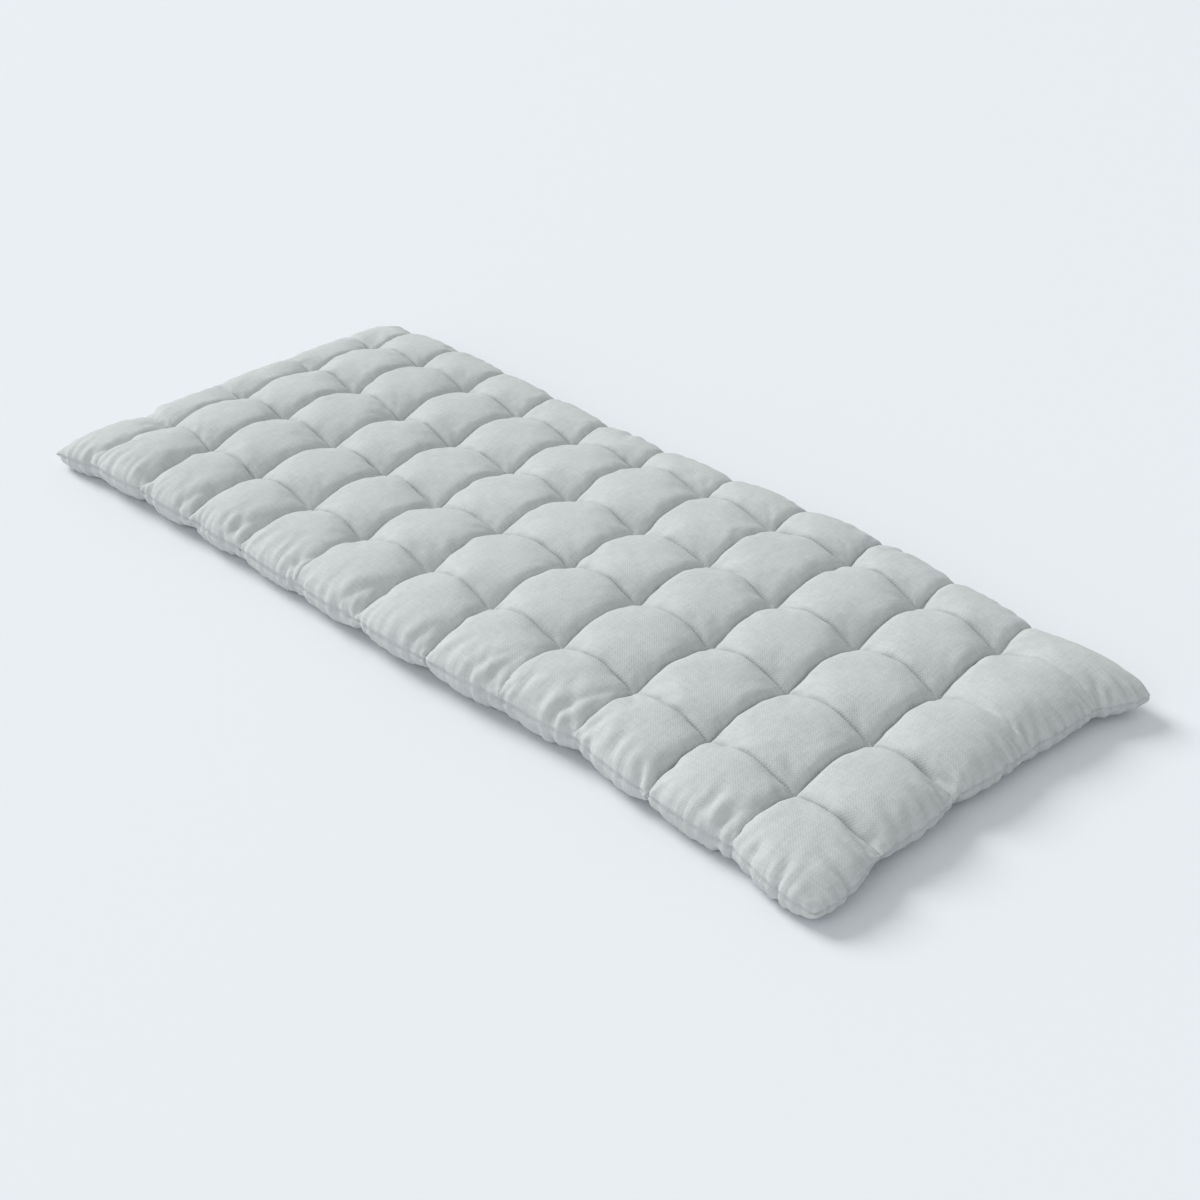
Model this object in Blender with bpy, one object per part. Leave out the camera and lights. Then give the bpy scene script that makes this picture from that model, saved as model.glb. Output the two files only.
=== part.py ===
"""A tufted bench cushion, lying on its flat underside. Metres, +Z up.

Two plain cloth panels are sewn together all round in a knife-edge seam and filled. A grid of
tufts is then tied through from face to face. Each tuft pulls both faces in, so the filling
stands up between the tufts as rows of puffed pads, with a channel along every line of tufts.
The filling also draws the four sides in, which leaves the corners standing out as ears.

The origin is on the surface that the cushion lies on, under the middle of its outline.
+X runs along the cushion, from its far end to its near end, and +Y runs across it, from its
front side to its back side.
"""

from collections import namedtuple

import bmesh
import bpy
from mathutils import Vector

# Heights above the surface that the cushion lies on: the seam that runs round it, and the
# ends of a tuft in its two faces.
SEAM_HEIGHT = 0.027
TUFT_TOP_HEIGHT = 0.036
TUFT_UNDER_HEIGHT = 0.019

# How far the crown of a pad stands out from the tufts round it, on each face. The underside
# is pressed flat where it would reach below the surface.
PAD_RISE_TOP = 0.025
PAD_RISE_UNDER = 0.026

# The share of that rise which is left in the middle of a channel, between two tufts. The
# channels that run across the cushion are the deeper ones, because it bends at them.
CHANNEL_ACROSS_RISE = 0.55
CHANNEL_ALONG_RISE = 0.70

# The cushion lies in a slow wave. The seam follows this share of it.
SEAM_LIFT_SHARE = 0.5

# Between two channels the filling pushes the seam out by this much.
SEAM_BOW = 0.004

# The lines of tufts that run across the cushion, from the far end to the near end: the place
# of each along the cushion, how far the wave lifts it, and how far across the front and the
# back seam are there.
TuftLineAcross = namedtuple("TuftLineAcross", "along lift front back")
TUFT_LINES_ACROSS = (
    TuftLineAcross(along=-0.509, lift=-0.004, front=-0.248, back=0.245),
    TuftLineAcross(along=-0.419, lift=0.002, front=-0.244, back=0.246),
    TuftLineAcross(along=-0.330, lift=-0.002, front=-0.240, back=0.247),
    TuftLineAcross(along=-0.237, lift=-0.003, front=-0.237, back=0.243),
    TuftLineAcross(along=-0.138, lift=-0.003, front=-0.236, back=0.235),
    TuftLineAcross(along=-0.037, lift=0.002, front=-0.237, back=0.231),
    TuftLineAcross(along=0.069, lift=0.007, front=-0.236, back=0.232),
    TuftLineAcross(along=0.169, lift=0.009, front=-0.229, back=0.236),
    TuftLineAcross(along=0.263, lift=0.004, front=-0.219, back=0.243),
    TuftLineAcross(along=0.362, lift=-0.002, front=-0.228, back=0.240),
    TuftLineAcross(along=0.461, lift=-0.007, front=-0.226, back=0.229),
)

# The lines of tufts that run along the cushion, from the front side to the back side: the
# place of each across the cushion, and how far along the far and the near seam are there.
TuftLineAlong = namedtuple("TuftLineAlong", "across far near")
TUFT_LINES_ALONG = (
    TuftLineAlong(across=-0.144, far=-0.576, near=0.560),
    TuftLineAlong(across=-0.040, far=-0.575, near=0.560),
    TuftLineAlong(across=0.064, far=-0.577, near=0.565),
    TuftLineAlong(across=0.168, far=-0.580, near=0.572),
)

# The tips of the ears at the four corners: how far along and across they are, and how high.
FAR_FRONT_EAR = (-0.592, -0.2555, 0.015)
FAR_BACK_EAR = (-0.590, 0.2555, 0.018)
NEAR_FRONT_EAR = (0.568, -0.241, 0.018)
NEAR_BACK_EAR = (0.592, 0.226, 0.021)

# A pad is a cell between two lines, which are lines of tufts or the seam. A place along or
# across the cushion is a cell's number plus a share of that cell.
CELLS_ALONG = len(TUFT_LINES_ACROSS) + 1
CELLS_ACROSS = len(TUFT_LINES_ALONG) + 1

# Where a cell has its mesh lines, as shares of the cell. They are closest beside a channel,
# where the face turns down sharply.
MESH_LINE_SHARES = (0.0, 0.07, 0.25, 0.5, 0.75, 0.93)

# The two panels share their points along the seam, which are welded within this distance.
WELD_DISTANCE = 0.00005

CLOTH_COLOUR = (0.52, 0.55, 0.55, 1.0)
CLOTH_ROUGHNESS = 0.95


def clear_scene():
    for obj in list(bpy.data.objects):
        bpy.data.objects.remove(obj)


def half_ellipse(share):
    """The rounded rise from one side of a cell to the other: 0 at both sides, 1 between."""
    return (1.0 - (2.0 * share - 1.0) ** 2) ** 0.5


def split_place(place, cells):
    """The cell that a place is in, and the share of that cell."""
    cell = min(int(place), cells - 1)
    return cell, place - cell


def crossing(line_across, line_along, on_top):
    """The point where two lines cross. The first and the last line each way are the seam."""
    at_far_end = line_across == 0
    at_end = at_far_end or line_across == CELLS_ALONG
    at_front = line_along == 0
    at_side = at_front or line_along == CELLS_ACROSS
    if at_end and at_side:
        if at_far_end:
            return Vector(FAR_FRONT_EAR if at_front else FAR_BACK_EAR)
        return Vector(NEAR_FRONT_EAR if at_front else NEAR_BACK_EAR)
    if at_end:
        tufts = TUFT_LINES_ALONG[line_along - 1]
        along = tufts.far if at_far_end else tufts.near
        lift = TUFT_LINES_ACROSS[0 if at_far_end else -1].lift
        return Vector((along, tufts.across, SEAM_HEIGHT + SEAM_LIFT_SHARE * lift))
    tufts = TUFT_LINES_ACROSS[line_across - 1]
    if at_side:
        across = tufts.front if at_front else tufts.back
        return Vector((tufts.along, across, SEAM_HEIGHT + SEAM_LIFT_SHARE * tufts.lift))
    across = TUFT_LINES_ALONG[line_along - 1].across
    height = TUFT_TOP_HEIGHT + tufts.lift if on_top else TUFT_UNDER_HEIGHT
    return Vector((tufts.along, across, height))


def face_point(place_along, place_across, on_top):
    """The point of one face at a place along and a place across the cushion."""
    cell_along, share_along = split_place(place_along, CELLS_ALONG)
    cell_across, share_across = split_place(place_across, CELLS_ACROSS)

    # The ground that the pad stands on lies between the four crossings at its corners.
    sides = []
    for line_along in (cell_across, cell_across + 1):
        start = crossing(cell_along, line_along, on_top)
        end = crossing(cell_along + 1, line_along, on_top)
        sides.append(start.lerp(end, share_along))
    point = sides[0].lerp(sides[1], share_across)

    # A channel keeps some of the rise at a line of tufts, and none at the seam, which the
    # filling pushes out between two channels.
    rise_along = half_ellipse(share_along)
    rise_across = half_ellipse(share_across)
    channel_across = CHANNEL_ACROSS_RISE
    channel_along = CHANNEL_ALONG_RISE
    if cell_along == 0:
        channel_across *= share_along
        point.x -= SEAM_BOW * rise_across * (1.0 - share_along)
    if cell_along == CELLS_ALONG - 1:
        channel_across *= 1.0 - share_along
        point.x += SEAM_BOW * rise_across * share_along
    if cell_across == 0:
        channel_along *= share_across
        point.y -= SEAM_BOW * rise_along * (1.0 - share_across)
    if cell_across == CELLS_ACROSS - 1:
        channel_along *= 1.0 - share_across
        point.y += SEAM_BOW * rise_along * share_across

    # The pad has its whole rise in its middle, and falls to each channel at its sides.
    rise = rise_along * rise_across
    rise += channel_across * rise_across * (1.0 - rise_along)
    rise += channel_along * rise_along * (1.0 - rise_across)
    if on_top:
        point.z += PAD_RISE_TOP * rise
    else:
        point.z = max(0.0, point.z - PAD_RISE_UNDER * rise)
    return point


def mesh_lines(cells):
    """The places of the mesh lines along or across the cushion, with the last seam."""
    places = [cell + share for cell in range(cells) for share in MESH_LINE_SHARES]
    return places + [float(cells)]


def add_panel(shape, on_top):
    """One cloth panel: a flat grid whose points are moved to where the filled face has them."""
    places_along = mesh_lines(CELLS_ALONG)
    places_across = mesh_lines(CELLS_ACROSS)
    steps_along = len(places_along) - 1
    steps_across = len(places_across) - 1
    grid = bmesh.ops.create_grid(shape, x_segments=steps_along, y_segments=steps_across, size=1.0)
    for point in grid["verts"]:
        # The flat grid runs from -1 to 1 each way.
        step_along = round(0.5 * (point.co.x + 1.0) * steps_along)
        step_across = round(0.5 * (point.co.y + 1.0) * steps_across)
        point.co = face_point(places_along[step_along], places_across[step_across], on_top)
    if not on_top:
        faces = list({face for point in grid["verts"] for face in point.link_faces})
        bmesh.ops.reverse_faces(shape, faces=faces)


def make_cloth_material():
    material = bpy.data.materials.new("plain_cotton")
    material.use_nodes = True
    shader = material.node_tree.nodes["Principled BSDF"]
    shader.inputs["Base Color"].default_value = CLOTH_COLOUR
    shader.inputs["Roughness"].default_value = CLOTH_ROUGHNESS
    shader.inputs["Metallic"].default_value = 0.0
    return material


def make_cushion():
    """The filled body: the two panels, closed along the seam all round."""
    shape = bmesh.new()
    add_panel(shape, on_top=True)
    add_panel(shape, on_top=False)
    bmesh.ops.remove_doubles(shape, verts=shape.verts, dist=WELD_DISTANCE)
    mesh = bpy.data.meshes.new("cushion")
    shape.to_mesh(mesh)
    shape.free()
    mesh.shade_smooth()
    mesh.materials.append(make_cloth_material())
    return bpy.data.objects.new("cushion", mesh)


clear_scene()
collection = bpy.data.collections.new("bench_cushion")
bpy.context.scene.collection.children.link(collection)
collection.objects.link(make_cushion())
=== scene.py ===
"""A tufted bench cushion of light grey cotton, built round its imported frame. Metres, +Z up.

The cushion lies on its underside. +X runs along it, from its far end to its near end, and +Y
runs across it, from its front side to its back side.
"""

import math
from collections import namedtuple

import bpy
import numpy as np
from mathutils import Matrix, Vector


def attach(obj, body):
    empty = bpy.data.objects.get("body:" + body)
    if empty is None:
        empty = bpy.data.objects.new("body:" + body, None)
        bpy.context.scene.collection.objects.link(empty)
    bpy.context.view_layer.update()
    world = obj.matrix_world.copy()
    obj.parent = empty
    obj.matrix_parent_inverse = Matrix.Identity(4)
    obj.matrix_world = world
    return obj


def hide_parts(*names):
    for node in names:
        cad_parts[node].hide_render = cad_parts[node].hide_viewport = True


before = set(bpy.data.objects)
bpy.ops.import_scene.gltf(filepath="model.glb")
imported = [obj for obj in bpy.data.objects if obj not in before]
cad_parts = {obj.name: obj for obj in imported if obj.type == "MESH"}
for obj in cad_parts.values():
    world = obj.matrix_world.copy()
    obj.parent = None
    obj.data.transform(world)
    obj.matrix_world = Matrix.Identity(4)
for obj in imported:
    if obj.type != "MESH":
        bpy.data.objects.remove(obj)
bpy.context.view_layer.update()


# ---------------------------------------------------------------------------------------------
# The filled body. Two panels of plain-woven cotton are sewn face to face in a knife-edge seam,
# turned out, filled with fibre and tied through at every tuft. Between the ties the cloth is
# slack, so it puffs into pads and gathers where it meets the seam.
# ---------------------------------------------------------------------------------------------

SEAM_HEIGHT = 0.027
TUFT_TOP_HEIGHT = 0.036
TUFT_UNDER_HEIGHT = 0.019
# The seam follows the slow wave in which the cushion lies by this share.
SEAM_LIFT_SHARE = 0.5

# Where each line of tufts across the cushion lies along it, how far the slow wave in which the
# cushion lies lifts it, where the front and the back seam are beside it, and how deep a fold its
# channel makes where it runs out at the front seam: 0 for none, 1 for the deepest.
TuftLineAcross = namedtuple("TuftLineAcross", "along lift front back front_fold")
tuft_lines_across = (
    TuftLineAcross(along=-0.509, lift=-0.004, front=-0.248, back=0.245, front_fold=0.30),
    TuftLineAcross(along=-0.419, lift=0.002, front=-0.244, back=0.246, front_fold=1.00),
    TuftLineAcross(along=-0.330, lift=-0.002, front=-0.240, back=0.247, front_fold=0.90),
    TuftLineAcross(along=-0.237, lift=-0.003, front=-0.237, back=0.243, front_fold=0.70),
    TuftLineAcross(along=-0.138, lift=-0.003, front=-0.236, back=0.235, front_fold=0.20),
    TuftLineAcross(along=-0.037, lift=0.002, front=-0.237, back=0.231, front_fold=0.90),
    TuftLineAcross(along=0.069, lift=0.007, front=-0.236, back=0.232, front_fold=0.95),
    TuftLineAcross(along=0.169, lift=0.009, front=-0.229, back=0.236, front_fold=0.25),
    TuftLineAcross(along=0.263, lift=0.004, front=-0.219, back=0.243, front_fold=0.55),
    TuftLineAcross(along=0.362, lift=-0.002, front=-0.228, back=0.240, front_fold=1.00),
    TuftLineAcross(along=0.461, lift=-0.007, front=-0.226, back=0.229, front_fold=0.35),
)

# The same for the lines of tufts along the cushion, and for the seams of its two ends.
TuftLineAlong = namedtuple("TuftLineAlong", "across far near far_fold near_fold")
tuft_lines_along = (
    TuftLineAlong(across=-0.144, far=-0.576, near=0.560, far_fold=0.80, near_fold=1.00),
    TuftLineAlong(across=-0.040, far=-0.575, near=0.560, far_fold=0.00, near_fold=0.95),
    TuftLineAlong(across=0.064, far=-0.577, near=0.565, far_fold=0.10, near_fold=0.00),
    TuftLineAlong(across=0.168, far=-0.580, near=0.572, far_fold=0.15, near_fold=0.00),
)

# The corners, where the turned-out seam makes ears: far or near end, then front or back side.
ears = {
    ("far", "front"): (-0.590, -0.2535, 0.015),
    ("far", "back"): (-0.588, 0.2535, 0.018),
    ("near", "front"): (0.566, -0.241, 0.018),
    ("near", "back"): (0.597, 0.232, 0.021),
}

CELLS_ALONG = len(tuft_lines_across) + 1
CELLS_ACROSS = len(tuft_lines_along) + 1
randoms = np.random.default_rng(11)

# No two tufts are tied in quite the same place.
TUFT_WANDER = 0.0022
tuft_wander = randoms.normal(0.0, TUFT_WANDER, (CELLS_ALONG + 1, CELLS_ACROSS + 1, 2))


def crossings(on_top):
    """The points where the lines of tufts and the seams cross, as an array along by across."""
    points = np.zeros((CELLS_ALONG + 1, CELLS_ACROSS + 1, 3))
    for i, line in enumerate(tuft_lines_across, start=1):
        seam_height = SEAM_HEIGHT + SEAM_LIFT_SHARE * line.lift
        points[i, 0] = (line.along, line.front, seam_height)
        points[i, -1] = (line.along, line.back, seam_height)
        height = TUFT_TOP_HEIGHT + line.lift if on_top else TUFT_UNDER_HEIGHT
        for j, crossed in enumerate(tuft_lines_along, start=1):
            points[i, j] = (line.along, crossed.across, height)
    far_height = SEAM_HEIGHT + SEAM_LIFT_SHARE * tuft_lines_across[0].lift
    near_height = SEAM_HEIGHT + SEAM_LIFT_SHARE * tuft_lines_across[-1].lift
    for j, line in enumerate(tuft_lines_along, start=1):
        points[0, j] = (line.far, line.across, far_height)
        points[-1, j] = (line.near, line.across, near_height)
    for (end, side), point in ears.items():
        points[0 if end == "far" else -1, 0 if side == "front" else -1] = point
    points[1:-1, 1:-1, :2] += tuft_wander[1:-1, 1:-1]
    return points


# How far a pad stands out from the tufts round it before it is filled, and the share of that
# which is left in the channels between two tufts. No two pads hold quite the same filling.
PAD_RISE_TOP = 0.0205
PAD_RISE_UNDER = 0.022
CHANNEL_ACROSS_RISE = 0.97
CHANNEL_ALONG_RISE = 0.88
ACROSS_ROUNDNESS = 0.60
ALONG_ROUNDNESS = 0.66
PAD_UNEVENNESS = 0.07
CHANNEL_UNEVENNESS = 0.06

# The share of an outer pad that its rounded side takes up, on the top and on the underside. The
# ends are less full than the two long sides.
TOP_SIDE_SHARE = 0.42
TOP_END_SHARE = 0.62
UNDER_SIDE_SHARE = 0.22
UNDER_END_SHARE = 0.45
# The channels' rise where they run out at a seam: less where they make a fold there.
OPEN_CHANNEL_RISE = 1.00
FOLD_DEPTH = 0.75

# The cloth's mesh lines in a cell. They are closer beside a channel, and closest at the seam.
LINES_PER_CELL = 17
CHANNEL_CROWDING = 0.30
SEAM_LINE_SHARES = (0.011, 0.035)
CHANNEL_LINE_SHARE = 0.016


def cell_shares(count, crowding):
    """The places of the mesh lines in one cell, closer together beside its two channels."""
    even = np.arange(count) / count
    return even - crowding / (2.0 * math.pi) * np.sin(2.0 * math.pi * even)


def mesh_lines(cells):
    """The places of the mesh lines, each a cell's number plus a share of that cell."""
    shares = cell_shares(LINES_PER_CELL, CHANNEL_CROWDING)
    places = [cell + share for cell in range(cells) for share in shares]
    places += [line - CHANNEL_LINE_SHARE for line in range(1, cells)]
    places += [line + CHANNEL_LINE_SHARE for line in range(1, cells)]
    places += list(SEAM_LINE_SHARES)
    places += [cells - share for share in SEAM_LINE_SHARES]
    return np.array(sorted(places) + [float(cells)])


places_along = mesh_lines(CELLS_ALONG)
places_across = mesh_lines(CELLS_ACROSS)
pad_fullness = 1.0 + randoms.normal(0.0, PAD_UNEVENNESS, (CELLS_ALONG, CELLS_ACROSS))

# The pads at the far end hold less, and the back pads of the near half hold more, three of them
# the most.
FAR_FULLNESS = 0.66
BACK_FULLNESS = 1.12
pad_fullness[0] *= FAR_FULLNESS
pad_fullness[5:, -1] *= BACK_FULLNESS
pad_fullness[6:9, -1] *= BACK_FULLNESS

# The seam bows out between two channels.
SEAM_BOW = 0.0022


def between(values, places):
    """Values that are given on whole lines, read between the lines."""
    cells = np.minimum(places.astype(int), len(values) - 2)
    share = (places - cells).reshape((-1,) + (1,) * (values.ndim - 1))
    return values[cells] * (1.0 - share) + values[cells + 1] * share


def bulge(places, cells, roundness, side_share):
    """The rounded rise over one cell: 0 on its two lines, 1 in its middle, steep at a seam."""
    share = places - np.minimum(places.astype(int), cells - 1)
    rise = np.sin(np.pi * np.clip(share, 0.0, 1.0)) ** roundness
    from_seam = np.minimum(places, cells - places)
    side = np.sqrt(1.0 - (1.0 - np.minimum(from_seam / side_share, 1.0)) ** 2)
    return np.where(from_seam < 0.5, np.minimum(side, rise) if side_share > 0.5 else side, rise)


# How much of a quarter circle each corner is rounded to, over this share of its outer pads.
CORNER_SHARE = 0.5
corner_roundness = {
    ("far", "front"): 0.05,
    ("far", "back"): 0.90,
    ("near", "front"): 0.42,
    ("near", "back"): 0.22,
}


def round_corner(ground, end, side):
    """Moves the points near one corner so that its two seams meet in a curve."""
    along = places_along if end == "far" else CELLS_ALONG - places_along
    across = places_across if side == "front" else CELLS_ACROSS - places_across
    a = np.clip(1.0 - along / CORNER_SHARE, 0.0, 1.0)[:, None]
    b = np.clip(1.0 - across / CORNER_SHARE, 0.0, 1.0)[None, :]
    roundness = corner_roundness[end, side]
    pull_a = roundness * a * (1.0 - np.sqrt(1.0 - b * b / 2.0)) * CORNER_SHARE
    pull_b = roundness * b * (1.0 - np.sqrt(1.0 - a * a / 2.0)) * CORNER_SHARE
    i, step_i = (0, 1) if end == "far" else (-1, -2)
    j, step_j = (0, 1) if side == "front" else (-1, -2)
    corners = crossings(True)
    ground[:, :, :2] += pull_a[:, :, None] * (corners[step_i, j] - corners[i, j])[:2]
    ground[:, :, :2] += pull_b[:, :, None] * (corners[i, step_j] - corners[i, j])[:2]


def end_rise(fold):
    """The rise of a channel where it runs out at a seam."""
    return OPEN_CHANNEL_RISE - FOLD_DEPTH * fold


every_crossing = (CELLS_ALONG + 1, CELLS_ACROSS + 1)
across_rises = CHANNEL_ACROSS_RISE + randoms.normal(0.0, CHANNEL_UNEVENNESS, every_crossing)
along_rises = CHANNEL_ALONG_RISE + randoms.normal(0.0, CHANNEL_UNEVENNESS, every_crossing)
across_rises[1:-1, 0] = [end_rise(line.front_fold) for line in tuft_lines_across]
across_rises[[0, -1]] = 0.0
along_rises[0, 1:-1] = [end_rise(line.far_fold) for line in tuft_lines_along]
along_rises[-1, 1:-1] = [end_rise(line.near_fold) for line in tuft_lines_along]
along_rises[:, [0, -1]] = 0.0


def over_panel(values):
    """Values given where the lines cross, read over the whole panel."""
    values = between(values, places_along)
    return np.swapaxes(between(np.swapaxes(values, 0, 1), places_across), 0, 1)


# The underside starts this far above the bench, and the cloth is nowhere quite even.
UNDER_CLEARANCE = 0.0015
CLOTH_UNEVENNESS = 0.0003


def panel_points(on_top):
    """One panel's points as it is tied, before the filling pushes it out."""
    ground = over_panel(crossings(on_top))
    bow_along = SEAM_BOW * np.sin(np.pi * (places_along % 1.0))[:, None]
    bow_across = SEAM_BOW * np.sin(np.pi * (places_across % 1.0))[None, :]
    ground[:, :, 1] -= bow_along * np.clip(1.0 - places_across, 0.0, 1.0)[None, :]
    ground[:, :, 1] += bow_along * np.clip(places_across - CELLS_ACROSS + 1.0, 0.0, 1.0)[None, :]
    ground[:, :, 0] += bow_across * np.clip(places_along - CELLS_ALONG + 1.0, 0.0, 1.0)[:, None]
    for end, side in corner_roundness:
        round_corner(ground, end, side)
    end_share = TOP_END_SHARE if on_top else UNDER_END_SHARE
    side_share = TOP_SIDE_SHARE if on_top else UNDER_SIDE_SHARE
    over_along = bulge(places_along, CELLS_ALONG, ACROSS_ROUNDNESS, end_share)[:, None]
    over_across = bulge(places_across, CELLS_ACROSS, ALONG_ROUNDNESS, side_share)[None, :]
    rise = over_along * over_across
    rise = rise + over_panel(across_rises) * over_across * (1.0 - over_along)
    rise = rise + over_panel(along_rises) * over_along * (1.0 - over_across)
    cells_along = np.minimum(places_along.astype(int), CELLS_ALONG - 1)
    cells_across = np.minimum(places_across.astype(int), CELLS_ACROSS - 1)
    fullness = pad_fullness[cells_along][:, cells_across]
    fullness = 1.0 + (fullness - 1.0) * over_along * over_across
    if on_top:
        ground[:, :, 2] += PAD_RISE_TOP * rise * fullness
    else:
        ground[:, :, 2] = np.maximum(ground[:, :, 2] - PAD_RISE_UNDER * rise, UNDER_CLEARANCE)
    return ground


steps_along = len(places_along)
steps_across = len(places_across)
top_number = np.arange(steps_along * steps_across).reshape(steps_along, steps_across)
under_number = top_number.copy()
inner_shape = (steps_along - 2, steps_across - 2)
inner_number = np.arange(inner_shape[0] * inner_shape[1]).reshape(inner_shape)
under_number[1:-1, 1:-1] = top_number.size + inner_number


def whole_cloth(top_values, under_values):
    """Values on the two panels' grids, in the order of the cloth's points."""
    width = top_values.shape[2] if top_values.ndim == 3 else 1
    inner_values = under_values[1:-1, 1:-1].reshape(-1, width)
    return np.concatenate([top_values.reshape(-1, width), inner_values])


points = whole_cloth(panel_points(True), panel_points(False))
points[:, 2] += randoms.normal(0.0, CLOTH_UNEVENNESS, len(points))


def quads(number):
    """The faces of one panel, as the numbers of their four points."""
    corners = [number[:-1, :-1], number[1:, :-1], number[1:, 1:], number[:-1, 1:]]
    return np.stack(corners, axis=-1).reshape(-1, 4)


faces = np.concatenate([quads(top_number), quads(under_number)[:, ::-1]])
mesh = bpy.data.meshes.new("cushion_cloth")
mesh.from_pydata(points.tolist(), [], faces.tolist())
cloth = bpy.data.objects.new("cushion_cloth", mesh)
bpy.context.scene.collection.objects.link(cloth)

# Where each point lies on the cut panel, in metres, and which panel it is on: 1 for the top, -1
# for the underside, 0 on the seam.
cut = over_panel(crossings(True))
cut[:, :, 2] = 1.0
cut[[0, -1], :, 2] = 0.0
cut[:, [0, -1], 2] = 0.0
cut_points = whole_cloth(cut, cut * (1.0, 1.0, -1.0))
mesh.attributes.new("cut", "FLOAT_VECTOR", "POINT").data.foreach_set("vector", cut_points.ravel())
uv_map = mesh.uv_layers.new(name="cut_cloth")
corner_points = np.zeros(len(mesh.loops), np.int32)
mesh.loops.foreach_get("vertex_index", corner_points)
uv_map.data.foreach_set("uv", cut_points[corner_points, :2].ravel())
place = np.stack(np.broadcast_arrays(places_along[:, None], places_across[None, :], 0.0), axis=-1)
place_points = whole_cloth(place, place)
mesh.attributes.new("place", "FLOAT_VECTOR", "POINT").data.foreach_set("vector", place_points.ravel())

# The tufts hold the cloth fast. The channels and the seam only lean towards their lines.
TUFT_HOLD = 1.0
CHANNEL_ACROSS_HOLD = 0.30
CHANNEL_ALONG_HOLD = 0.15
SEAM_HOLD = 0.05
SEAM_AT_CHANNEL_HOLD = 0.5
on_line_along = np.isclose(places_along % 1.0, 0.0)
on_line_across = np.isclose(places_across % 1.0, 0.0)
hold = np.zeros((steps_along, steps_across))
hold[on_line_along, :] = CHANNEL_ACROSS_HOLD
hold[:, on_line_across] = CHANNEL_ALONG_HOLD
hold[np.ix_(on_line_along, on_line_across)] = TUFT_HOLD
for edge in (np.s_[0, :], np.s_[-1, :], np.s_[:, 0], np.s_[:, -1]):
    hold[edge] = SEAM_HOLD
end_hold = hold[[0, -1], :]
hold[[0, -1], :] = np.where(on_line_across, SEAM_AT_CHANNEL_HOLD, end_hold)
side_hold = hold[:, [0, -1]]
hold[:, [0, -1]] = np.where(on_line_along[:, None], SEAM_AT_CHANNEL_HOLD, side_hold)
ties = cloth.vertex_groups.new(name="ties")
held = whole_cloth(hold, hold).ravel()
for weight in np.unique(held[held > 0.0]):
    ties.add(np.flatnonzero(held == weight).tolist(), float(weight), "REPLACE")

# Cloth near the seam is gathered into it, so there is more of it there, over this share of a pad.
GATHERED_SHARE = 0.9
SLACK_STEPS = 10
from_seam = np.minimum(
    np.minimum(places_along, CELLS_ALONG - places_along)[:, None],
    np.minimum(places_across, CELLS_ACROSS - places_across)[None, :],
)
calm = np.clip(from_seam / GATHERED_SHARE, 0.0, 1.0)
calm_steps = np.round(whole_cloth(calm, calm).ravel() * SLACK_STEPS)
slack = cloth.vertex_groups.new(name="slack")
for step in range(SLACK_STEPS + 1):
    chosen = np.flatnonzero(calm_steps == step)
    slack.add(chosen.tolist(), step / SLACK_STEPS, "REPLACE")

# The filling pushes the cloth out. The cushion lies on a bench while it does so.
FILLING_PRESSURE = 15.0
FILLING_FRAMES = 16
BENCH_REACH = 1.0
BENCH_DROP = 0.001


def evaluated_mesh(thing):
    """The mesh that an object's modifiers make of it, as a plain mesh."""
    graph = bpy.context.evaluated_depsgraph_get()
    return bpy.data.meshes.new_from_object(thing.evaluated_get(graph))


def square(name, reach, height):
    """A flat square mesh round the origin."""
    corners = [(-reach, -reach), (reach, -reach), (reach, reach), (-reach, reach)]
    flat = bpy.data.meshes.new(name)
    flat.from_pydata([(x, y, height) for x, y in corners], [], [(0, 1, 2, 3)])
    return flat


filling = cloth.modifiers.new("filling", "CLOTH")
settings = filling.settings
settings.quality = 5
settings.mass = 0.15
settings.air_damping = 2.0
settings.tension_stiffness = 30.0
settings.compression_stiffness = 30.0
settings.shear_stiffness = 6.0
settings.bending_stiffness = 0.05
settings.tension_damping = 5.0
settings.compression_damping = 5.0
settings.shear_damping = 5.0
settings.vertex_group_mass = "ties"
settings.pin_stiffness = 10.0
settings.vertex_group_shrink = "slack"
settings.shrink_min = -0.05
settings.shrink_max = -0.035
settings.use_pressure = True
settings.uniform_pressure_force = FILLING_PRESSURE
settings.effector_weights.gravity = 0.0
filling.collision_settings.use_collision = True
filling.collision_settings.distance_min = 0.001
bench = bpy.data.objects.new("bench_top", square("bench_top", BENCH_REACH, -BENCH_DROP))
bpy.context.scene.collection.objects.link(bench)
bench.modifiers.new("collision", "COLLISION")
bench.collision.thickness_outer = 0.001
scene = bpy.context.scene
filling.point_cache.frame_start = 1
filling.point_cache.frame_end = FILLING_FRAMES
for step in range(1, FILLING_FRAMES + 1):
    scene.frame_set(step)
settled = evaluated_mesh(cloth)
filled_spots = np.zeros(len(settled.vertices) * 3, np.float32)
settled.vertices.foreach_get("co", filled_spots)
bpy.data.objects.remove(bench)
cloth.modifiers.clear()
filled_spots[2::3] = np.maximum(filled_spots[2::3], 0.0)
cloth.data.vertices.foreach_set("co", filled_spots)
scene.frame_set(1)
cloth.data.shade_smooth()
fine = cloth.modifiers.new("fine", "SUBSURF")
fine.levels = 1
fine.render_levels = 1
cushion = bpy.data.objects.new("padded_body", evaluated_mesh(cloth))
bpy.context.scene.collection.objects.link(cushion)
bpy.data.objects.remove(cloth)


def vectors_of(data, name):
    """One vector for each of a mesh's points, as an array of rows."""
    vectors = np.zeros(len(data) * 3, np.float32)
    data.foreach_get(name, vectors)
    return vectors.reshape(-1, 3)


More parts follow.
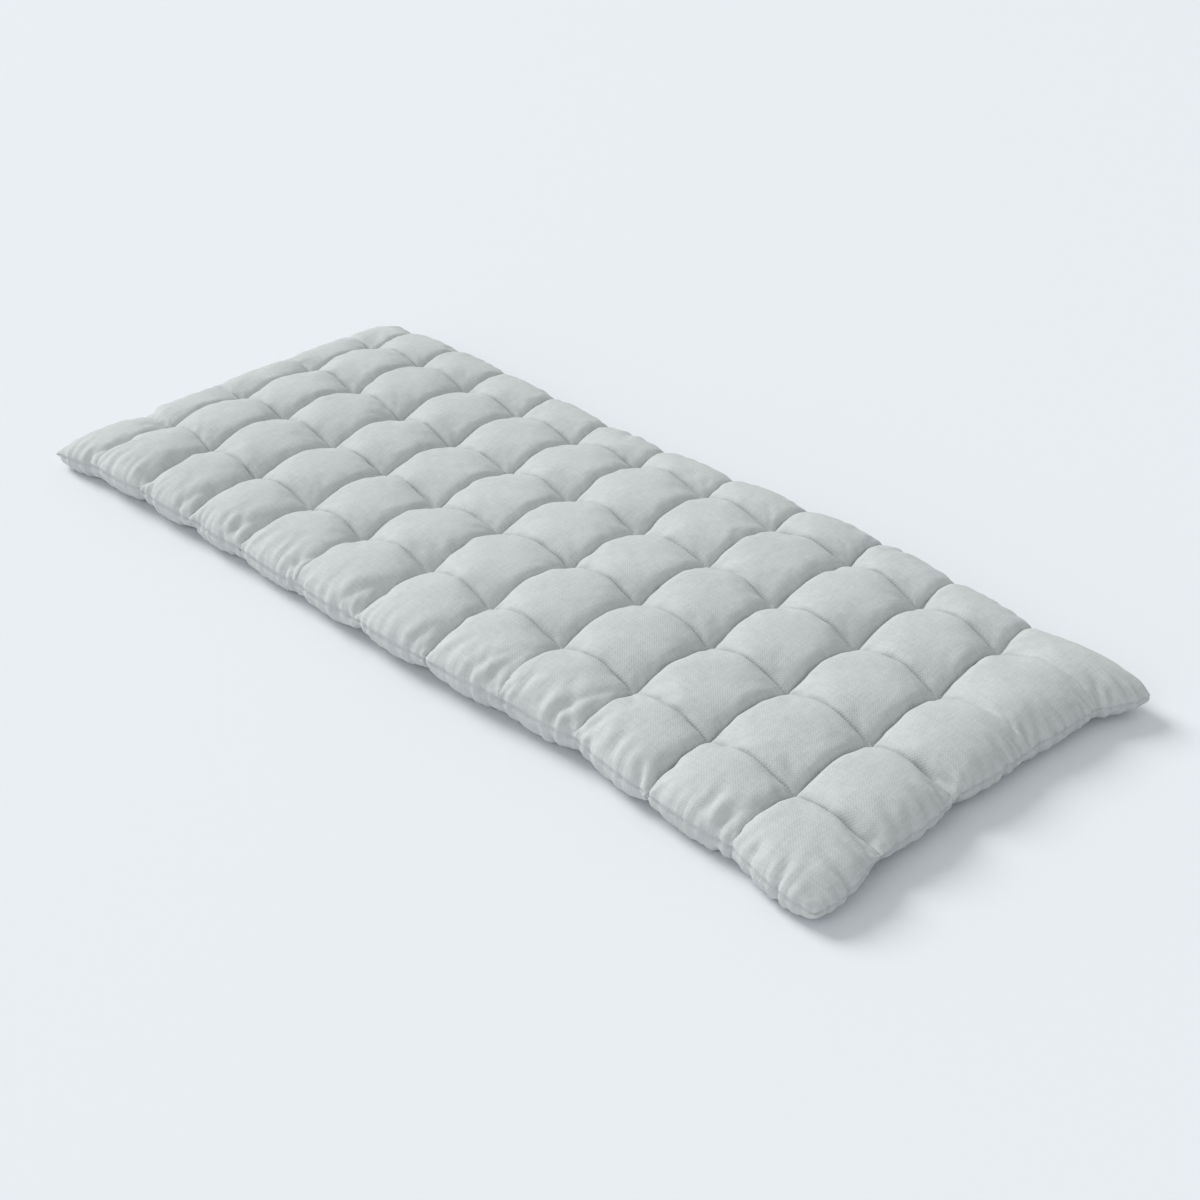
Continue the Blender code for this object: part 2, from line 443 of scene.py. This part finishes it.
# The slack is gathered where a pad is sewn into the seam. Each gather is a narrow valley with a
# soft ridge on both sides, deepest a little way in from the seam.
body = cushion.data
spots = vectors_of(body.vertices, "co").astype(float)
normals = vectors_of(body.vertex_normals, "vector")
cut_spots = vectors_of(body.attributes["cut"].data, "vector")
place_spots = vectors_of(body.attributes["place"].data, "vector")
top_crossings = crossings(True)
crossings_on_seam = {
    "front": top_crossings[:, 0],
    "back": top_crossings[:, -1],
    "far": top_crossings[0],
    "near": top_crossings[-1],
}

# For every side: the gathers in a pad, how deep they are and how far they run in.
Gathers = namedtuple("Gathers", "count depth length")
gathers_of_side = {
    "front": Gathers(count=8, depth=0.0024, length=0.042),
    "near": Gathers(count=8, depth=0.0034, length=0.034),
    "back": Gathers(count=5, depth=0.0012, length=0.032),
    "far": Gathers(count=5, depth=0.0012, length=0.030),
}
GATHER_WIDTH = 0.0030
UNDER_LENGTH_SHARE = 0.45
# How much gathers differ from one another, and how far they fan out towards a pad's two sides.
GATHER_PLACES = (0.1, 0.9)
GATHER_LENGTHS = (0.45, 1.5)
GATHER_DEPTHS = (0.4, 1.25)
GATHER_WIDTHS = (0.8, 1.6)
FAN_OUT = 0.8
LEAN_UNEVENNESS = 0.15
# The profile across a gather, in widths from its middle.
VALLEY_DEPTH = 1.15
VALLEY_STEEPNESS = 1.3
VALLEY_POWER = 1.25
RIDGE_HEIGHT = 0.45
RIDGE_PLACE = 1.9
# How a gather widens and fades out inwards, and how much of it is left right at the seam.
GATHER_SPREAD = 0.8
FADE_POWER = 1.2
SHARE_AT_SEAM = 0.55
DEEPEST_FROM_SEAM = 0.012
WIDEST_REACH = 0.12
push = np.zeros(len(spots))


def seam_frame(side):
    """How far round the seam every point is on this side, how far in it is, and the seam's ends."""
    seam_points = crossings_on_seam[side]
    line, way_in = (0, 1) if side in ("front", "back") else (1, 0)
    inward = 1.0 if side in ("front", "far") else -1.0
    round_seam = cut_spots[:, line]
    seam_off = np.interp(round_seam, seam_points[:, line], seam_points[:, way_in])
    return round_seam, (cut_spots[:, way_in] - seam_off) * inward, seam_points[:, line]


def carve(round_seam, distance_in, middle, lean, length, depth, width):
    """Presses one gather into the cloth: a valley with a ridge on both sides, dying out inwards."""
    near = np.flatnonzero((distance_in < length) & (np.abs(round_seam - middle) < WIDEST_REACH))
    d = distance_in[near]
    aside = (round_seam[near] - middle + lean * d) / (width * (1.0 + GATHER_SPREAD * d / length))
    valley = VALLEY_DEPTH * np.exp(-VALLEY_STEEPNESS * np.abs(aside) ** VALLEY_POWER)
    ridge = RIDGE_HEIGHT * np.exp(-((np.abs(aside) - RIDGE_PLACE) ** 2))
    reach = np.where(cut_spots[near, 2] < 0.0, length * UNDER_LENGTH_SHARE, length)
    opened = SHARE_AT_SEAM + (1.0 - SHARE_AT_SEAM) * np.clip(d / DEEPEST_FROM_SEAM, 0.0, 1.0)
    fade = np.clip(1.0 - d / reach, 0.0, 1.0) ** FADE_POWER * opened
    push[near] -= depth * (valley - ridge) * fade


for side, gathers in gathers_of_side.items():
    round_seam, distance_in, seam_stops = seam_frame(side)
    for start, end in zip(seam_stops[:-1], seam_stops[1:]):
        for number in range(gathers.count):
            place_in_pad = (number + randoms.uniform(*GATHER_PLACES)) / gathers.count
            middle = start + (end - start) * place_in_pad
            off_middle = (middle - 0.5 * (start + end)) / (end - start)
            lean = off_middle * FAN_OUT + randoms.normal(0.0, LEAN_UNEVENNESS)
            length = gathers.length * randoms.uniform(*GATHER_LENGTHS)
            depth = gathers.depth * randoms.uniform(*GATHER_DEPTHS)
            width = GATHER_WIDTH * randoms.uniform(*GATHER_WIDTHS)
            carve(round_seam, distance_in, middle, lean, length, depth, width)

# The longer folds that lie beside some of the tufts: how far round the seam they start, how much
# they lean, how far they run in, and how deep and wide they are.
Fold = namedtuple("Fold", "side middle lean length depth width")
long_folds = (
    Fold(side="front", middle=-0.527, lean=-0.55, length=0.070, depth=0.0026, width=0.0050),
    Fold(side="front", middle=-0.398, lean=0.35, length=0.060, depth=0.0026, width=0.0048),
    Fold(side="front", middle=-0.351, lean=-0.30, length=0.075, depth=0.0026, width=0.0052),
    Fold(side="front", middle=-0.262, lean=-0.45, length=0.085, depth=0.0031, width=0.0058),
    Fold(side="front", middle=-0.158, lean=-0.60, length=0.070, depth=0.0024, width=0.0052),
    Fold(side="front", middle=-0.066, lean=-0.50, length=0.085, depth=0.0034, width=0.0058),
    Fold(side="front", middle=0.046, lean=-0.30, length=0.050, depth=0.0036, width=0.0042),
    Fold(side="front", middle=0.128, lean=-0.55, length=0.062, depth=0.0030, width=0.0048),
    Fold(side="front", middle=0.151, lean=-0.20, length=0.070, depth=0.0036, width=0.0050),
    Fold(side="front", middle=0.196, lean=0.25, length=0.058, depth=0.0028, width=0.0046),
    Fold(side="front", middle=0.231, lean=-0.50, length=0.085, depth=0.0038, width=0.0052),
    Fold(side="front", middle=0.283, lean=0.15, length=0.052, depth=0.0028, width=0.0046),
    Fold(side="front", middle=0.440, lean=-0.45, length=0.072, depth=0.0030, width=0.0056),
    Fold(side="front", middle=0.522, lean=0.35, length=0.052, depth=0.0030, width=0.0046),
    Fold(side="near", middle=-0.160, lean=-0.25, length=0.048, depth=0.0030, width=0.0042),
    Fold(side="near", middle=-0.055, lean=-0.20, length=0.046, depth=0.0030, width=0.0042),
    Fold(side="near", middle=-0.026, lean=0.30, length=0.040, depth=0.0024, width=0.0040),
    Fold(side="near", middle=0.030, lean=0.25, length=0.052, depth=0.0026, width=0.0046),
    Fold(side="near", middle=0.190, lean=0.20, length=0.048, depth=0.0028, width=0.0046),
    Fold(side="far", middle=-0.128, lean=0.30, length=0.050, depth=0.0032, width=0.0050),
    Fold(side="back", middle=0.300, lean=0.40, length=0.055, depth=0.0028, width=0.0050),
    Fold(side="back", middle=-0.100, lean=-0.40, length=0.055, depth=0.0028, width=0.0050),
)
for fold in long_folds:
    round_seam, distance_in, seam_stops = seam_frame(fold.side)
    carve(round_seam, distance_in, *fold[1:])

# The seam allowance draws the seam itself in by a little, which leaves a fine groove.
SEAM_GROOVE = 0.0022
on_seam = np.abs(cut_spots[:, 2]) < 0.25
push[on_seam] -= SEAM_GROOVE

# The pads press against one another in the channels, which leaves a narrow dark slot there.
SLOT_ACROSS = 0.0095
SLOT_ALONG = 0.0054
SLOT_ACROSS_WIDTH = 0.0033
SLOT_ALONG_WIDTH = 0.0030
METRES_PER_CELL = 0.1
from_across_line = np.abs(place_spots[:, 0] - np.round(place_spots[:, 0])) * METRES_PER_CELL
from_along_line = np.abs(place_spots[:, 1] - np.round(place_spots[:, 1])) * METRES_PER_CELL
from_ends = np.minimum(place_spots[:, 0], CELLS_ALONG - place_spots[:, 0])
from_sides = np.minimum(place_spots[:, 1], CELLS_ACROSS - place_spots[:, 1])
# A seam is no channel: the slots start half a pad in from it.
clear_of_ends = np.clip(from_ends * 2.0, 0.0, 1.0)
clear_of_sides = np.clip(from_sides * 2.0, 0.0, 1.0)
slot_across = SLOT_ACROSS * np.exp(-from_across_line / SLOT_ACROSS_WIDTH) * clear_of_ends
slot_along = SLOT_ALONG * np.exp(-from_along_line / SLOT_ALONG_WIDTH) * clear_of_sides

# Where a channel runs out at a seam in a fold, the slot is wider and deeper.
END_FOLD_DEPTH = 0.0080
END_FOLD_WIDTH = 0.0060
END_FOLD_POWER = 1.3
BACK_FOLD = 0.5
# The shares of a pad, from the seam inwards, over which a slot and an end fold come and go.
SLOT_STARTS_OVER = 0.30
SLOT_OPENS_FROM = 0.45
SLOT_OPENS_OVER = 0.45
END_FOLD_STARTS_OVER = 0.12
END_FOLD_ENDS_AT = 0.95
END_FOLD_ENDS_OVER = 0.55
# Round a tuft the cloth is pulled flat, so no slot sinks there.
TUFT_REACH = 0.008
# The shares of a pad over which the rounded sides and ends turn steep.
STEEP_SIDE_SHARE = 0.30
STEEP_END_SHARE = 0.40
STRAIGHT_DOWN = 1.15
folds_across = np.array([0.0] + [line.front_fold for line in tuft_lines_across] + [0.0])
folds_far = np.array([0.0] + [line.far_fold for line in tuft_lines_along] + [0.0])
folds_near = np.array([0.0] + [line.near_fold for line in tuft_lines_along] + [0.0])
nearest_across = np.clip(np.round(place_spots[:, 0]).astype(int), 0, CELLS_ALONG)
nearest_along = np.clip(np.round(place_spots[:, 1]).astype(int), 0, CELLS_ACROSS)
end_folds = np.where(place_spots[:, 0] < 1.0, folds_far[nearest_along], folds_near[nearest_along])
side_folds = np.where(place_spots[:, 1] < 1.0, folds_across[nearest_across], BACK_FOLD)


def open_end(distance_in, fold):
    """How much of a slot is left towards a seam: a channel without a fold soon closes up."""
    reached = np.clip((distance_in - SLOT_OPENS_FROM) / SLOT_OPENS_OVER, 0.0, 1.0)
    return np.clip(distance_in / SLOT_STARTS_OVER, 0.0, 1.0) * (fold + (1.0 - fold) * reached)


slot_across *= open_end(from_sides, side_folds)
slot_along *= open_end(from_ends, end_folds)


def end_fold(distance_in, from_line, fold):
    """How deep the wide fold is in which a channel runs out at a seam."""
    starts = np.clip(distance_in / END_FOLD_STARTS_OVER, 0.0, 1.0)
    ends = np.clip((END_FOLD_ENDS_AT - distance_in) / END_FOLD_ENDS_OVER, 0.0, 1.0)
    across = np.exp(-((from_line / END_FOLD_WIDTH) ** END_FOLD_POWER))
    return END_FOLD_DEPTH * fold * (starts * ends) * across


front_folds = end_fold(place_spots[:, 1], from_across_line, folds_across[nearest_across])
far_folds = end_fold(place_spots[:, 0], from_along_line, folds_far[nearest_along])
from_near_end = CELLS_ALONG - place_spots[:, 0]
near_folds = end_fold(from_near_end, from_along_line, folds_near[nearest_along])
in_slot = np.maximum.reduce([slot_across, slot_along, front_folds, far_folds, near_folds])
at_tuft = np.exp(-np.hypot(from_across_line, from_along_line) / TUFT_REACH)
on_top = cut_spots[:, 2] > 0.0
sink = np.where(on_top, in_slot * (1.0 - at_tuft), 0.0)

# The slots go straight down, but lean outwards on the rounded sides.
steep_side = np.clip(1.0 - from_sides / STEEP_SIDE_SHARE, 0.0, 1.0)
steep_end = np.clip(1.0 - from_ends / STEEP_END_SHARE, 0.0, 1.0)
sink_way = np.stack(
    [
        steep_end * np.where(place_spots[:, 0] < 1.0, -1.0, 1.0),
        steep_side * np.where(place_spots[:, 1] < 1.0, -1.0, 1.0),
        STRAIGHT_DOWN - np.maximum(steep_side, steep_end),
    ],
    axis=1,
)
sink_way /= np.linalg.norm(sink_way, axis=1, keepdims=True)
spots += normals * push[:, None] - sink_way * sink[:, None]
spots[:, 2] = np.maximum(spots[:, 2], 0.0)
body.vertices.foreach_set("co", spots.ravel())
body.update()


def linear(hex_colour):
    """An sRGB hex colour as linear RGBA."""
    channels = [int(hex_colour[i : i + 2], 16) / 255.0 for i in (1, 3, 5)]
    return [c / 12.92 if c <= 0.04045 else ((c + 0.055) / 1.055) ** 2.4 for c in channels] + [1.0]


def add_node(tree, kind, values=(), **settings):
    """A node with its settings, and its inputs filled with values or with another node's output."""
    node = tree.nodes.new(kind)
    for name, value in settings.items():
        setattr(node, name, value)
    for key, value in dict(values).items():
        if isinstance(value, bpy.types.NodeSocket):
            tree.links.new(value, node.inputs[key])
        else:
            node.inputs[key].default_value = value
    return node


# Undyed-looking light grey cotton in plain weave. Warp and weft are slightly uneven, so the cloth
# is faintly mottled, and it is quite matt. A slub is a thick place in a yarn.
LIGHT_YARN = "#cbcecc"
DARK_YARN = "#b8bcbb"
# The real cloth has about 2 yarns a millimetre. They are drawn 3 times as coarse, to show at all.
YARN_PITCH = 0.0015
SLUB_WIDTH = 0.0022
SLUB_LENGTH = 0.016
PATCH_SIZE = 0.035
CREPE_SIZE = 0.012

cotton = bpy.data.materials.new("plain_woven_cotton")
cotton.use_nodes = True
tree = cotton.node_tree
shader = tree.nodes["Principled BSDF"]
cut_place = add_node(tree, "ShaderNodeUVMap", uv_map="cut_cloth").outputs["UV"]
weft_place = add_node(
    tree,
    "ShaderNodeVectorMath",
    {0: cut_place, 1: (1.0 / SLUB_LENGTH, 1.0 / SLUB_WIDTH, 1.0)},
    operation="MULTIPLY",
).outputs["Vector"]
warp_place = add_node(
    tree,
    "ShaderNodeVectorMath",
    {0: cut_place, 1: (1.0 / SLUB_WIDTH, 1.0 / SLUB_LENGTH, 1.0)},
    operation="MULTIPLY",
).outputs["Vector"]
weft_slubs = add_node(tree, "ShaderNodeTexNoise", {"Vector": weft_place, "Scale": 1.0, "Detail": 2.0})
warp_slubs = add_node(tree, "ShaderNodeTexNoise", {"Vector": warp_place, "Scale": 1.0, "Detail": 2.0})
slubs = add_node(
    tree,
    "ShaderNodeMath",
    {0: weft_slubs.outputs["Fac"], 1: warp_slubs.outputs["Fac"]},
    operation="ADD",
)
patches = add_node(
    tree,
    "ShaderNodeTexNoise",
    {"Vector": cut_place, "Scale": 1.0 / PATCH_SIZE, "Detail": 3.0, "Roughness": 0.6},
)
mottle = add_node(
    tree,
    "ShaderNodeMath",
    {0: patches.outputs["Fac"], 1: 0.7, 2: slubs.outputs["Value"]},
    operation="MULTIPLY_ADD",
)
shade = add_node(
    tree,
    "ShaderNodeMapRange",
    {"Value": mottle.outputs["Value"], "From Min": 0.85, "From Max": 1.85, "To Min": 0.0, "To Max": 1.0},
)
yarn_colour = add_node(
    tree,
    "ShaderNodeMix",
    {"Factor": shade.outputs["Result"], "A": linear(DARK_YARN), "B": linear(LIGHT_YARN)},
    data_type="RGBA",
)
tree.links.new(yarn_colour.outputs["Result"], shader.inputs["Base Color"])

# The weave: the yarns' crowns in the two directions, seen as a fine relief.
yarn_angles = add_node(
    tree,
    "ShaderNodeVectorMath",
    {0: cut_place, 1: (math.pi / YARN_PITCH, math.pi / YARN_PITCH, 0.0)},
    operation="MULTIPLY",
).outputs["Vector"]
yarns = add_node(tree, "ShaderNodeVectorMath", {0: yarn_angles}, operation="SINE").outputs["Vector"]
split = add_node(tree, "ShaderNodeSeparateXYZ", {"Vector": yarns})
weave = add_node(
    tree, "ShaderNodeMath", {0: split.outputs["X"], 1: split.outputs["Y"]}, operation="MULTIPLY"
)
crepe = add_node(
    tree,
    "ShaderNodeTexNoise",
    {"Vector": cut_place, "Scale": 1.0 / CREPE_SIZE, "Detail": 3.0, "Roughness": 0.55},
)
crepe_bump = add_node(
    tree, "ShaderNodeBump", {"Height": crepe.outputs["Fac"], "Strength": 0.35, "Distance": 0.0015}
)
slub_bump = add_node(
    tree,
    "ShaderNodeBump",
    {
        "Height": slubs.outputs["Value"],
        "Strength": 0.5,
        "Distance": 0.0004,
        "Normal": crepe_bump.outputs["Normal"],
    },
)
weave_bump = add_node(
    tree,
    "ShaderNodeBump",
    {
        "Height": weave.outputs["Value"],
        "Strength": 0.4,
        "Distance": 0.0002,
        "Normal": slub_bump.outputs["Normal"],
    },
)
tree.links.new(weave_bump.outputs["Normal"], shader.inputs["Normal"])
shader.inputs["Roughness"].default_value = 0.95
shader.inputs["Specular IOR Level"].default_value = 0.15
shader.inputs["Sheen Weight"].default_value = 0.12
shader.inputs["Sheen Roughness"].default_value = 0.5
cushion.data.materials.clear()
cushion.data.materials.append(cotton)
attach(cushion, "root")
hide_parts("cushion")


# ---------------------------------------------------------------------------------------------
# The tuft stitches. At every tuft a few turns of strong cotton thread are taken through both
# panels and the filling and pulled tight, which leaves a short bar of thread on either face.
# ---------------------------------------------------------------------------------------------

STITCH_LENGTH = 0.008
STITCH_RISE = 0.0009
THREAD_RADIUS = 0.0004
STRANDS = 4
STITCH_TURN = 0.35
STITCH_SEED = 5
# The bar lies on the cloth by this many radii, and its strands lie this many radii apart.
LIFT_IN_RADII = 1.5
STRAND_SPACING = 1.9
PATH_STEPS = 6
THREAD_SIDES = 8

# Spun cotton thread, a little darker than the cloth and smoother, so slightly less matt.
THREAD_COLOUR = "#b3b8b6"
thread = bpy.data.materials.new("cotton_thread")
thread.use_nodes = True
thread_shader = thread.node_tree.nodes["Principled BSDF"]
thread_shader.inputs["Base Color"].default_value = linear(THREAD_COLOUR)
thread_shader.inputs["Roughness"].default_value = 0.8
thread_shader.inputs["Specular IOR Level"].default_value = 0.25
thread_shader.inputs["Sheen Weight"].default_value = 0.1

tree = bpy.data.node_groups.new("bar_tacks", "GeometryNodeTree")
tree.interface.new_socket("Tufts", in_out="INPUT", socket_type="NodeSocketGeometry")
for name, kind in (
    ("Stitch Length", "NodeSocketFloat"),
    ("Stitch Rise", "NodeSocketFloat"),
    ("Thread Radius", "NodeSocketFloat"),
    ("Strands", "NodeSocketInt"),
    ("Most Turn", "NodeSocketFloat"),
    ("Turned Over", "NodeSocketFloat"),
    ("Seed", "NodeSocketInt"),
    ("Thread", "NodeSocketMaterial"),
):
    tree.interface.new_socket(name, in_out="INPUT", socket_type=kind)
tree.interface.new_socket("Stitches", in_out="OUTPUT", socket_type="NodeSocketGeometry")
given = add_node(tree, "NodeGroupInput").outputs
half = add_node(tree, "ShaderNodeMath", {0: given["Stitch Length"], 1: 0.5}, operation="MULTIPLY")
minus_half = add_node(tree, "ShaderNodeMath", {0: half.outputs[0], 1: -1.0}, operation="MULTIPLY")
start = add_node(tree, "ShaderNodeCombineXYZ", {"X": minus_half.outputs[0], "Z": 0.0})
middle = add_node(tree, "ShaderNodeCombineXYZ", {"Z": given["Stitch Rise"]})
end = add_node(tree, "ShaderNodeCombineXYZ", {"X": half.outputs[0], "Z": 0.0})
path = add_node(
    tree,
    "GeometryNodeCurveQuadraticBezier",
    {
        "Resolution": PATH_STEPS,
        "Start": start.outputs[0],
        "Middle": middle.outputs[0],
        "End": end.outputs[0],
    },
)
ring = add_node(
    tree,
    "GeometryNodeCurvePrimitiveCircle",
    {"Resolution": THREAD_SIDES, "Radius": given["Thread Radius"]},
)
strand = add_node(
    tree,
    "GeometryNodeCurveToMesh",
    {"Curve": path.outputs["Curve"], "Profile Curve": ring.outputs["Curve"], "Fill Caps": True},
)
pitch = add_node(
    tree, "ShaderNodeMath", {0: given["Thread Radius"], 1: STRAND_SPACING}, operation="MULTIPLY"
)
step = add_node(tree, "ShaderNodeCombineXYZ", {"Y": pitch.outputs[0]})
gaps = add_node(tree, "ShaderNodeMath", {0: given["Strands"], 1: 1.0}, operation="SUBTRACT")
back_by = add_node(tree, "ShaderNodeMath", {0: gaps.outputs[0], 1: -0.5}, operation="MULTIPLY")
first = add_node(
    tree,
    "ShaderNodeVectorMath",
    {0: step.outputs[0], "Scale": back_by.outputs[0]},
    operation="SCALE",
)
row = add_node(
    tree,
    "GeometryNodeMeshLine",
    {"Count": given["Strands"], "Start Location": first.outputs[0], "Offset": step.outputs[0]},
)
strands = add_node(
    tree,
    "GeometryNodeInstanceOnPoints",
    {"Points": row.outputs["Mesh"], "Instance": strand.outputs["Mesh"]},
)
bar = add_node(tree, "GeometryNodeRealizeInstances", {"Geometry": strands.outputs["Instances"]})
least_turn = add_node(tree, "ShaderNodeMath", {0: given["Most Turn"], 1: -1.0}, operation="MULTIPLY")
turn = add_node(
    tree,
    "FunctionNodeRandomValue",
    {"Min": least_turn.outputs[0], "Max": given["Most Turn"], "Seed": given["Seed"]},
    data_type="FLOAT",
)
angles = add_node(tree, "ShaderNodeCombineXYZ", {"X": given["Turned Over"], "Z": turn.outputs["Value"]})
tacks = add_node(
    tree,
    "GeometryNodeInstanceOnPoints",
    {"Points": given["Tufts"], "Instance": bar.outputs["Geometry"], "Rotation": angles.outputs[0]},
)
real = add_node(tree, "GeometryNodeRealizeInstances", {"Geometry": tacks.outputs["Instances"]})
coloured = add_node(
    tree, "GeometryNodeSetMaterial", {"Geometry": real.outputs["Geometry"], "Material": given["Thread"]}
)
add_node(tree, "NodeGroupOutput", {"Stitches": coloured.outputs["Geometry"]})
socket_of = {
    item.name: item.identifier for item in tree.interface.items_tree if item.in_out == "INPUT"
}

on_a_tuft = np.all(np.abs(place_spots[:, :2] - np.round(place_spots[:, :2])) < 1e-4, axis=1)
for face, sign in (("top", 1.0), ("under", -1.0)):
    tuft_spots = spots[on_a_tuft & (cut_spots[:, 2] * sign > 0.5)]
    lift = THREAD_RADIUS * LIFT_IN_RADII * sign
    tuft_mesh = bpy.data.meshes.new("tuft_places_" + face)
    tuft_mesh.from_pydata((tuft_spots + (0.0, 0.0, lift)).tolist(), [], [])
    tufts = bpy.data.objects.new("tuft_places_" + face, tuft_mesh)
    bpy.context.scene.collection.objects.link(tufts)
    stitcher = tufts.modifiers.new("bar_tacks", "NODES")
    stitcher.node_group = tree
    for name, value in (
        ("Stitch Length", STITCH_LENGTH),
        ("Stitch Rise", STITCH_RISE),
        ("Thread Radius", THREAD_RADIUS),
        ("Strands", STRANDS),
        ("Most Turn", STITCH_TURN),
        ("Turned Over", 0.0 if face == "top" else math.pi),
        ("Seed", STITCH_SEED),
        ("Thread", thread),
    ):
        stitcher[socket_of[name]] = value
    tufts.update_tag()
    stitch_mesh = evaluated_mesh(tufts)
    stitch_mesh.shade_smooth()
    stitches = bpy.data.objects.new("tuft_stitches_" + face, stitch_mesh)
    bpy.context.scene.collection.objects.link(stitches)
    bpy.data.objects.remove(tufts)
    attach(stitches, "root")


# ---------------------------------------------------------------------------------------------
# The studio. The cushion lies on a very wide sheet of pale, matt backdrop paper. A broad soft
# light comes from its far end, a weaker one from its front side, and an even sky from above.
# ---------------------------------------------------------------------------------------------

FLOOR_REACH = 40.0
PAPER_COLOUR = "#e4e7ea"
SKY_COLOUR = "#f4f8fb"
SKY_STRENGTH = 0.59

floor_mesh = square("studio_floor", FLOOR_REACH, 0.0)
floor = bpy.data.objects.new("studio_floor", floor_mesh)
bpy.context.scene.collection.objects.link(floor)
paper = bpy.data.materials.new("backdrop_paper")
paper.use_nodes = True
paper_shader = paper.node_tree.nodes["Principled BSDF"]
paper_shader.inputs["Base Color"].default_value = linear(PAPER_COLOUR)
paper_shader.inputs["Roughness"].default_value = 0.9
floor_mesh.materials.append(paper)


def add_soft_light(name, way, strength, spread):
    """A wide, even studio light that shines along the given way."""
    light = bpy.data.lights.new(name, "SUN")
    light.energy = strength
    light.angle = math.radians(spread)
    lamp = bpy.data.objects.new(name, light)
    lamp.rotation_euler = Vector(way).to_track_quat("-Z", "Y").to_euler()
    bpy.context.scene.collection.objects.link(lamp)


add_soft_light("soft_key", way=(0.82, 0.08, -0.57), strength=2.3, spread=27)
add_soft_light("soft_fill", way=(-0.10, 0.86, -0.50), strength=0.55, spread=50)
world = bpy.data.worlds.new("studio")
bpy.context.scene.world = world
world.use_nodes = True
sky = world.node_tree.nodes["Background"]
sky.inputs["Color"].default_value = linear(SKY_COLOUR)
sky.inputs["Strength"].default_value = SKY_STRENGTH

# The camera looks at the near half of the cushion, from its near end and front side.
camera_data = bpy.data.cameras.new("camera")
camera_data.sensor_width = 36.0
camera_data.lens = 54.0
camera = bpy.data.objects.new("camera", camera_data)
aim = Vector((0.119, -0.043, 0.036))
distance = 1.836
azimuth = math.radians(45.3)
elevation = math.radians(32.6)
way_back = Vector(
    (
        math.sin(azimuth) * math.cos(elevation),
        -math.cos(azimuth) * math.cos(elevation),
        math.sin(elevation),
    )
)
camera.location = aim + distance * way_back
camera.rotation_euler = (aim - camera.location).to_track_quat("-Z", "Y").to_euler()
bpy.context.scene.collection.objects.link(camera)
bpy.context.scene.camera = camera
bpy.context.scene.view_settings.view_transform = "Standard"
